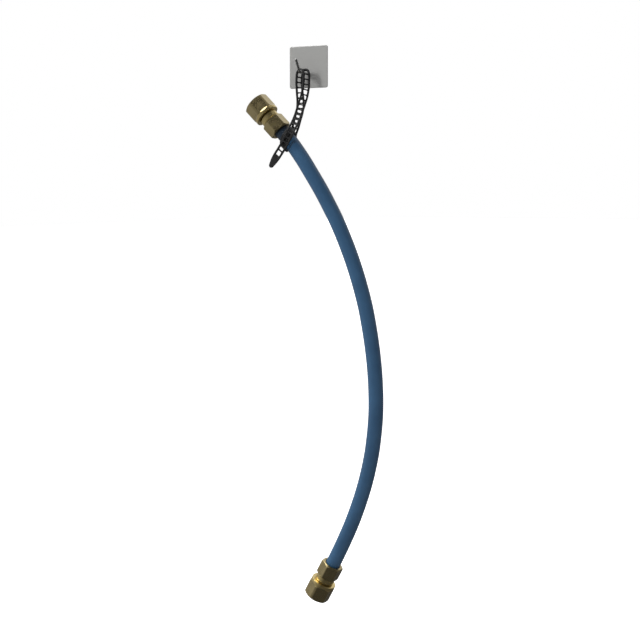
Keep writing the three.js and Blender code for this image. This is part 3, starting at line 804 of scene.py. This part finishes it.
FALLING_STRAND = [
    (6.6, 23.4, -19.9), (6.4, 23.5, -24.5), (5.4, 23.7, -29.8), (4.6, 24.1, -34.5), (3.5, 24.6, -39.1),
    (2.2, 25.2, -43.2), (0.9, 25.9, -47.9), (-0.7, 26.8, -53.2), (-2, 27.8, -58), (-3.3, 29.3, -62.7),
    (-4.8, 31.2, -67.5), (-6.7, 33.4, -72.8), (-9.6, 34.9, -79.3), (-13.4, 35.1, -86.5), (-18.4, 34.9, -94.6),
    (-22.7, 34.3, -100.4), (-27.2, 33.6, -106.2), (-31.6, 33, -112), (-37.2, 32.3, -119.9),
]
FALLING_FACING_DEG = [55, 50, 44, 36, 28, 20, 13, 7, 3] + [0] * 10
WRAP_RADIUS = HOSE_OD / MM / 2 + GAP + STRAP_THICKNESS / 2


def wrap_points():
    """A leaning oval round the hose, from the locked head over the front to the back."""
    matrix = coupling_matrix("top")
    side, axis = (matrix.to_3x3() @ Vector(way) for way in ((1, 0, 0), (0, 1, 0)))
    centre = along_axis("top", -WRAP_FROM_FACE * MM) / MM - side * WRAP_SLACK
    leaning = (side + axis * math.tan(math.radians(WRAP_TILT_DEG))) * (1 + WRAP_SLACK / WRAP_RADIUS)
    points = []
    for degrees in range(WRAP_START_DEG, WRAP_END_DEG - 1, -WRAP_STEP_DEG):
        sine, cosine = math.sin(math.radians(degrees)), math.cos(math.radians(degrees))
        reach = TO_VIEWER * cosine + leaning * sine
        points.append((centre + reach * WRAP_RADIUS, TO_VIEWER * cosine + side * sine))
    return points


def facing(degrees):
    """A level direction, turned from -Y towards +X."""
    return Vector((math.sin(math.radians(degrees)), -math.cos(math.radians(degrees)), 0))


def strand_points(places, facing_degrees):
    return [(Vector((x, -off_wall, z)), facing(deg)) for (x, off_wall, z), deg in zip(places, facing_degrees)]


def arch_points():
    """Half a circle that lies askew over the stem and rests on it under the strap's two edges."""
    inner = ARCH_RADIUS - STRAP_THICKNESS / 2
    rests_at = (STRAP_WIDTH / 2 + ROD_DIAMETER / 2) / math.tan(math.radians(ARCH_FACING_DEG))
    centre_z = STEM_Z + ROD_DIAMETER / 2 + GAP - math.sqrt(inner**2 - rests_at**2)
    centre = Vector((0, -ARCH_OFF_WALL, centre_z))
    points = []
    for degrees in range(180, -1, -ARCH_STEP_DEG):
        sine, cosine = math.sin(math.radians(degrees)), math.cos(math.radians(degrees))
        outward = facing(ARCH_FACING_DEG) * cosine + Vector((0, 0, sine))
        points.append((centre + outward * ARCH_RADIUS, outward))
    return points


strap_line = wrap_points() + strand_points(RISING_STRAND, RISING_FACING_DEG)
strap_line += arch_points() + strand_points(FALLING_STRAND, FALLING_FACING_DEG)
STRAP_STEPS = 40
strap_course = smooth_course([place for place, outward in strap_line], STRAP_STEPS)
strap_run = [0.0]
for p, q in zip(strap_course, strap_course[1:]):
    strap_run.append(strap_run[-1] + (q - p).length)
strap_length = strap_run[-1]
print("strap length in mm:", round(strap_length, 1))


# %% A place on the strap
def strap_at(distance):
    """Place, direction along, direction across and outer face at a distance along the strap."""
    n = next((i for i, run in enumerate(strap_run) if run >= distance), len(strap_run) - 1)
    n = max(n, 1)
    share = (distance - strap_run[n - 1]) / (strap_run[n] - strap_run[n - 1])
    along = (strap_course[n] - strap_course[n - 1]).normalized()
    place = strap_course[n - 1].lerp(strap_course[n], share)
    spot = (n - 1 + share) / STRAP_STEPS
    whole = min(int(spot), len(strap_line) - 2)
    outward = strap_line[whole][1].lerp(strap_line[whole + 1][1], spot - whole)
    outward = (outward - along * outward.dot(along)).normalized()
    return place, along, along.cross(outward), outward


def swept(name, distances, section_at, material):
    """A closed bar along the strap; section_at(distance) gives its (across, outward) points in order."""
    vertices = []
    for distance in distances:
        place, along, across, outward = strap_at(distance)
        section = section_at(distance)
        for a, o in section:
            vertices.append((place + across * a + outward * o) * MM)
    faces = ring_faces(len(distances), len(section))
    piece = new_piece(name, vertices, faces, material, sharp_deg=50)
    fix_outward(piece)
    return piece


# %% Rails, head and tail
half_width, half_thick = STRAP_WIDTH / 2, STRAP_THICKNESS / 2
inner_edge = half_width - RAIL_WIDTH
cells = int((strap_length - WRAP_RADIUS * math.radians(WRAP_SOLID_DEG) - TAIL_SOLID) / CELL_PITCH)
first_cell = strap_length - TAIL_SOLID - cells * CELL_PITCH
tail_start = strap_length - TAIL_SOLID
rail_end = tail_start + 1
ROUNDING = 0.55
RAIL_START, RAIL_STEP, HEAD_STEP, TAIL_STEP = 0.3, 0.9, 0.8, 0.7
TAIL_RIM, TAIL_DIP, RIM_SLANT, NARROWEST_HALF, DIP_NEEDS_HALF = 0.9, 0.3, 0.25, 0.35, 1.6


def rounded_bar(low, high, thick):
    """Corners of a bar's section with rounded edges, going round it once."""
    points = []
    corners = ((high, thick, 0), (low, thick, 90), (low, -thick, 180), (high, -thick, 270))
    for a, o, start in corners:
        ca = a - math.copysign(ROUNDING, a - (low + high) / 2)
        co = o - math.copysign(ROUNDING, o)
        for step in range(4):
            angle = math.radians(start + 30 * step)
            points.append((ca + ROUNDING * math.cos(angle), co + ROUNDING * math.sin(angle)))
    return points


def steps_between(start, stop, step):
    count = max(1, round((stop - start) / step))
    return [start + (stop - start) * k / count for k in range(count + 1)]


parts = []
rail_distances = steps_between(RAIL_START, rail_end, RAIL_STEP)
for low, high in ((-half_width, -inner_edge), (inner_edge, half_width)):
    bar = rounded_bar(low, high, half_thick)
    parts.append(swept("rail", rail_distances, lambda d: bar, black_plastic))
bar = rounded_bar(-half_width, half_width, half_thick)
parts.append(swept("head", steps_between(0, first_cell, HEAD_STEP), lambda d: bar, black_plastic))
print("cells:", cells, "first at", round(first_cell, 2))


def tail_half(distance):
    """Half the tail's width: it narrows in a curve and ends in a half circle."""
    tip = TIP_WIDTH / 2
    taper = TAIL_SOLID - tip
    share = max(0.0, (distance - tail_start) / taper)
    if share <= 1:
        return half_width + (tip - half_width) * share**2
    beyond = min(1.0, (distance - tail_start - taper) / tip)
    return tip * math.sqrt(max(0.0, 1 - beyond**2))


def tail_section(distance):
    """A flat tongue with a raised rim all round."""
    half = max(NARROWEST_HALF, tail_half(distance))
    rim = min(TAIL_RIM, half * 0.5)
    slant = RIM_SLANT * min(1, half)
    dip = TAIL_DIP if half > DIP_NEEDS_HALF and distance > rail_end else 0.0
    soft = min(ROUNDING, half * 0.6)
    top = half_thick
    return [
        (half, 0), (half, top - soft), (half - soft * 0.3, top - soft * 0.3), (half - soft, top),
        (half - rim, top), (half - rim - slant, top - dip),
        (-half + rim + slant, top - dip), (-half + rim, top),
        (-half + soft, top), (-half + soft * 0.3, top - soft * 0.3), (-half, top - soft),
        (-half, 0), (-half, -top + soft), (-half + soft, -top), (half - soft, -top), (half, -top + soft),
    ]


tip_start = strap_length - TIP_WIDTH / 2
tail_distances = steps_between(tail_start, tip_start, TAIL_STEP)
for degrees in (12, 24, 36, 48, 60, 72, 82):
    tail_distances.append(strap_length - TIP_WIDTH / 2 * (1 - math.sin(math.radians(degrees))))
parts.append(swept("tail", tail_distances, tail_section, black_plastic))
print("tail sections:", len(tail_distances))


# %% Rungs by Geometry Nodes
RUNG_OVERLAP, RUNG_INSET, RUNG_FILLET = 0.5, 0.5, 0.7


def rung_tree():
    """Instances of one waisted rung on points that carry their own along and outward directions."""
    tree = bpy.data.node_groups.new("rungs", "GeometryNodeTree")
    tree.interface.new_socket("Geometry", in_out="INPUT", socket_type="NodeSocketGeometry")
    sizes = {}
    for label in ("Length", "Width", "Thickness", "Fillet"):
        socket = tree.interface.new_socket(label, in_out="INPUT", socket_type="NodeSocketFloat")
        sizes[label] = socket.identifier
    socket = tree.interface.new_socket("Material", in_out="INPUT", socket_type="NodeSocketMaterial")
    plastic = socket.identifier
    tree.interface.new_socket("Geometry", in_out="OUTPUT", socket_type="NodeSocketGeometry")
    nodes, links = tree.nodes, tree.links
    start = nodes.new("NodeGroupInput")
    finish = nodes.new("NodeGroupOutput")

    size = nodes.new("ShaderNodeCombineXYZ")
    for label, axis in (("Length", "X"), ("Width", "Y"), ("Thickness", "Z")):
        links.new(start.outputs[label], size.inputs[axis])
    cube = nodes.new("GeometryNodeMeshCube")
    for label, count in (("Vertices X", 3), ("Vertices Y", 11), ("Vertices Z", 3)):
        cube.inputs[label].default_value = count
    links.new(size.outputs["Vector"], cube.inputs["Size"])

    position = nodes.new("GeometryNodeInputPosition")
    split = nodes.new("ShaderNodeSeparateXYZ")
    links.new(position.outputs["Position"], split.inputs["Vector"])
    reach = math_node(tree, "DIVIDE", split.outputs["Y"], start.outputs["Width"])
    nearness = math_node(tree, "ABSOLUTE", math_node(tree, "MULTIPLY", reach, 2.0))
    flare = math_node(tree, "MULTIPLY", math_node(tree, "POWER", nearness, 4.0), start.outputs["Fillet"])
    spread = math_node(tree, "MULTIPLY", flare, math_node(tree, "SIGN", split.outputs["X"]))
    offset = nodes.new("ShaderNodeCombineXYZ")
    links.new(spread, offset.inputs["X"])
    shape = nodes.new("GeometryNodeSetPosition")
    links.new(cube.outputs["Mesh"], shape.inputs["Geometry"])
    links.new(offset.outputs["Vector"], shape.inputs["Offset"])

    directions = []
    for label in ("outward", "along"):
        stored = nodes.new("GeometryNodeInputNamedAttribute")
        stored.data_type = "FLOAT_VECTOR"
        stored.inputs["Name"].default_value = label
        directions.append(stored)
    turn = nodes.new("FunctionNodeAxesToRotation")
    turn.primary_axis = "Z"
    turn.secondary_axis = "X"
    links.new(directions[0].outputs["Attribute"], turn.inputs["Primary Axis"])
    links.new(directions[1].outputs["Attribute"], turn.inputs["Secondary Axis"])
    spots = nodes.new("GeometryNodeMeshToPoints")
    links.new(start.outputs["Geometry"], spots.inputs["Mesh"])
    place = nodes.new("GeometryNodeInstanceOnPoints")
    links.new(spots.outputs["Points"], place.inputs["Points"])
    links.new(shape.outputs["Geometry"], place.inputs["Instance"])
    links.new(turn.outputs["Rotation"], place.inputs["Rotation"])
    real = nodes.new("GeometryNodeRealizeInstances")
    links.new(place.outputs["Instances"], real.inputs["Geometry"])
    paint = nodes.new("GeometryNodeSetMaterial")
    links.new(real.outputs["Geometry"], paint.inputs["Geometry"])
    links.new(start.outputs["Material"], paint.inputs["Material"])
    links.new(paint.outputs["Geometry"], finish.inputs["Geometry"])
    return tree, sizes, plastic


def rungs():
    distances = [first_cell + i * CELL_PITCH - RUNG_LENGTH / 2 for i in range(1, cells)]
    stations = [strap_at(distance) for distance in distances]
    mesh = bpy.data.meshes.new("rungs")
    mesh.from_pydata([tuple(place * MM) for place, *_ in stations], [], [])
    for label, which in (("along", 1), ("outward", 3)):
        layer = mesh.attributes.new(label, "FLOAT_VECTOR", "POINT")
        layer.data.foreach_set("vector", [value for station in stations for value in station[which]])
    piece = new_object("rungs", mesh)
    tree, sizes, plastic = rung_tree()
    modifier = piece.modifiers.new("rungs", "NODES")
    modifier.node_group = tree
    values = {
        "Length": RUNG_LENGTH,
        "Width": inner_edge * 2 + RUNG_OVERLAP,
        "Thickness": STRAP_THICKNESS - RUNG_INSET,
        "Fillet": RUNG_FILLET,
    }
    for label, value in values.items():
        modifier[sizes[label]] = value * MM
    modifier[plastic] = black_plastic
    baked(piece)
    piece.data.shade_smooth()
    piece.data.set_sharp_from_angle(angle=math.radians(40))
    return piece


parts.append(rungs())
print("rungs:", cells - 1)


# %% One strap
def merged(name, pieces, material):
    """Several meshes as one piece."""
    whole = bmesh.new()
    for part in pieces:
        whole.from_mesh(part.data)
    mesh = bpy.data.meshes.new(name)
    whole.to_mesh(mesh)
    whole.free()
    mesh.materials.clear()
    mesh.materials.append(material)
    for part in pieces:
        bpy.data.objects.remove(part)
    return new_object(name, mesh)


strap = merged("ladder_strap", parts, black_plastic)
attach(strap, "hung_hose")
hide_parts("hanging_strap")
print("strap faces:", len(strap.data.polygons))

# %% [markdown]
# ## Floor and light
# The floor lies well below the hose, as it does under a wall hook. Both it and the world are white to the
# camera. Metal reflects neither floor nor lamps, but a world that is bright to the left, behind and
# overhead and dim in front and to the right, so that each facet of a nut takes a tone of its own. The
# world's other light comes mostly from above and from the left.

# %% Floor
FLOOR_Z = -1.5
floor_mesh = bpy.data.meshes.new("floor")
floor_corners = [(x, y, FLOOR_Z) for x, y in ((-30, -30), (30, -30), (30, 60), (-30, 60))]
floor_mesh.from_pydata(floor_corners, [], [(0, 1, 2, 3)])
floor_finish = new_finish("floor", roughness=0.9)
surface_of(floor_finish).inputs["Base Color"].default_value = (0.9, 0.9, 0.9, 1)
rays = add_node(floor_finish, "ShaderNodeLightPath")
glow = add_node(floor_finish, "ShaderNodeEmission")
join(floor_finish, rays.outputs["Is Camera Ray"], glow.inputs["Strength"])
both = add_node(floor_finish, "ShaderNodeAddShader")
join(floor_finish, surface_of(floor_finish).outputs["BSDF"], both.inputs[0])
join(floor_finish, glow.outputs["Emission"], both.inputs[1])
join(floor_finish, both.outputs["Shader"], floor_finish.node_tree.nodes["Material Output"].inputs["Surface"])
floor_mesh.materials.append(floor_finish)
floor = new_object("floor", floor_mesh)
floor.visible_glossy = False
floor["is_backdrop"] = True
print("floor at", FLOOR_Z)

# %% World
world = bpy.data.worlds.new("studio")
bpy.context.scene.world = world
world.use_nodes = True
sky = world.node_tree
sky.nodes.clear()
rays = sky.nodes.new("ShaderNodeLightPath")
direction = sky.nodes.new("ShaderNodeTexCoord")
mirror = sky.nodes.new("ShaderNodeBackground")


def brightness_along(way, start, stop, dim, bright):
    """Brightness of the world, which rises as a direction comes nearer to the given way."""
    along = sky.nodes.new("ShaderNodeVectorMath")
    along.operation = "DOT_PRODUCT"
    along.inputs[1].default_value = way
    sky.links.new(direction.outputs["Generated"], along.inputs[0])
    return spread_over(sky, along.outputs["Value"], start, stop, dim, bright)


from_left = brightness_along((-0.93, 0, 0.37), 0, 1, 0.1, 0.58)
from_behind = brightness_along((0, 0.8, 0.6), 0.4, 0.9, 0, 0.8)
overhead = brightness_along((-0.45, -0.22, 0.865), 0.87, 0.96, 0, 6)
total = math_node(sky, "ADD", math_node(sky, "ADD", from_left, from_behind), overhead)
sky.links.new(total, mirror.inputs["Strength"])
plain = sky.nodes.new("ShaderNodeBackground")
sky.links.new(brightness_along((-0.4, 0, 0.9), -0.8, 0.8, 0.12, 0.6), plain.inputs["Strength"])
white = sky.nodes.new("ShaderNodeBackground")
for background in (mirror, plain, white):
    background.inputs["Color"].default_value = (1, 1, 1, 1)
seen = math_node(sky, "MAXIMUM", rays.outputs["Is Camera Ray"], rays.outputs["Is Transmission Ray"])
reflected = sky.nodes.new("ShaderNodeMixShader")
sky.links.new(rays.outputs["Is Glossy Ray"], reflected.inputs["Fac"])
sky.links.new(plain.outputs["Background"], reflected.inputs[1])
sky.links.new(mirror.outputs["Background"], reflected.inputs[2])
mixed = sky.nodes.new("ShaderNodeMixShader")
sky.links.new(seen, mixed.inputs["Fac"])
sky.links.new(reflected.outputs["Shader"], mixed.inputs[1])
sky.links.new(white.outputs["Background"], mixed.inputs[2])
output = sky.nodes.new("ShaderNodeOutputWorld")
sky.links.new(mixed.outputs["Shader"], output.inputs["Surface"])
print("world nodes:", len(sky.nodes))


# %% Lamps
def soft_lamp(name, place, aim, size, power):
    data = bpy.data.lights.new(name, "AREA")
    data.shape = "RECTANGLE"
    data.size, data.size_y = size
    data.energy = power
    lamp = new_object(name, data)
    lamp.location = place
    lamp.rotation_euler = (Vector(aim) - Vector(place)).to_track_quat("-Z", "Y").to_euler()
    return lamp


MIDDLE = (0.02, -0.02, -0.33)
key_lamp = soft_lamp("key_lamp", (-0.85, -2.1, 0.75), MIDDLE, (0.5, 0.5), 30)
key_lamp.visible_glossy = False
upper_left_lamp = soft_lamp("upper_left_lamp", (-1.6, 0.1, 1.14), MIDDLE, (0.9, 0.9), 18)
upper_left_lamp.visible_glossy = False
print("lamps: 2")

# %% [markdown]
# ## Sizes
# The dressed object must stay in the solids' box; the dressed object's box is measured and printed.

# %% Sizes
low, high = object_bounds()
print("visual box:", [round(b - a, 4) for a, b in zip(low, high)])
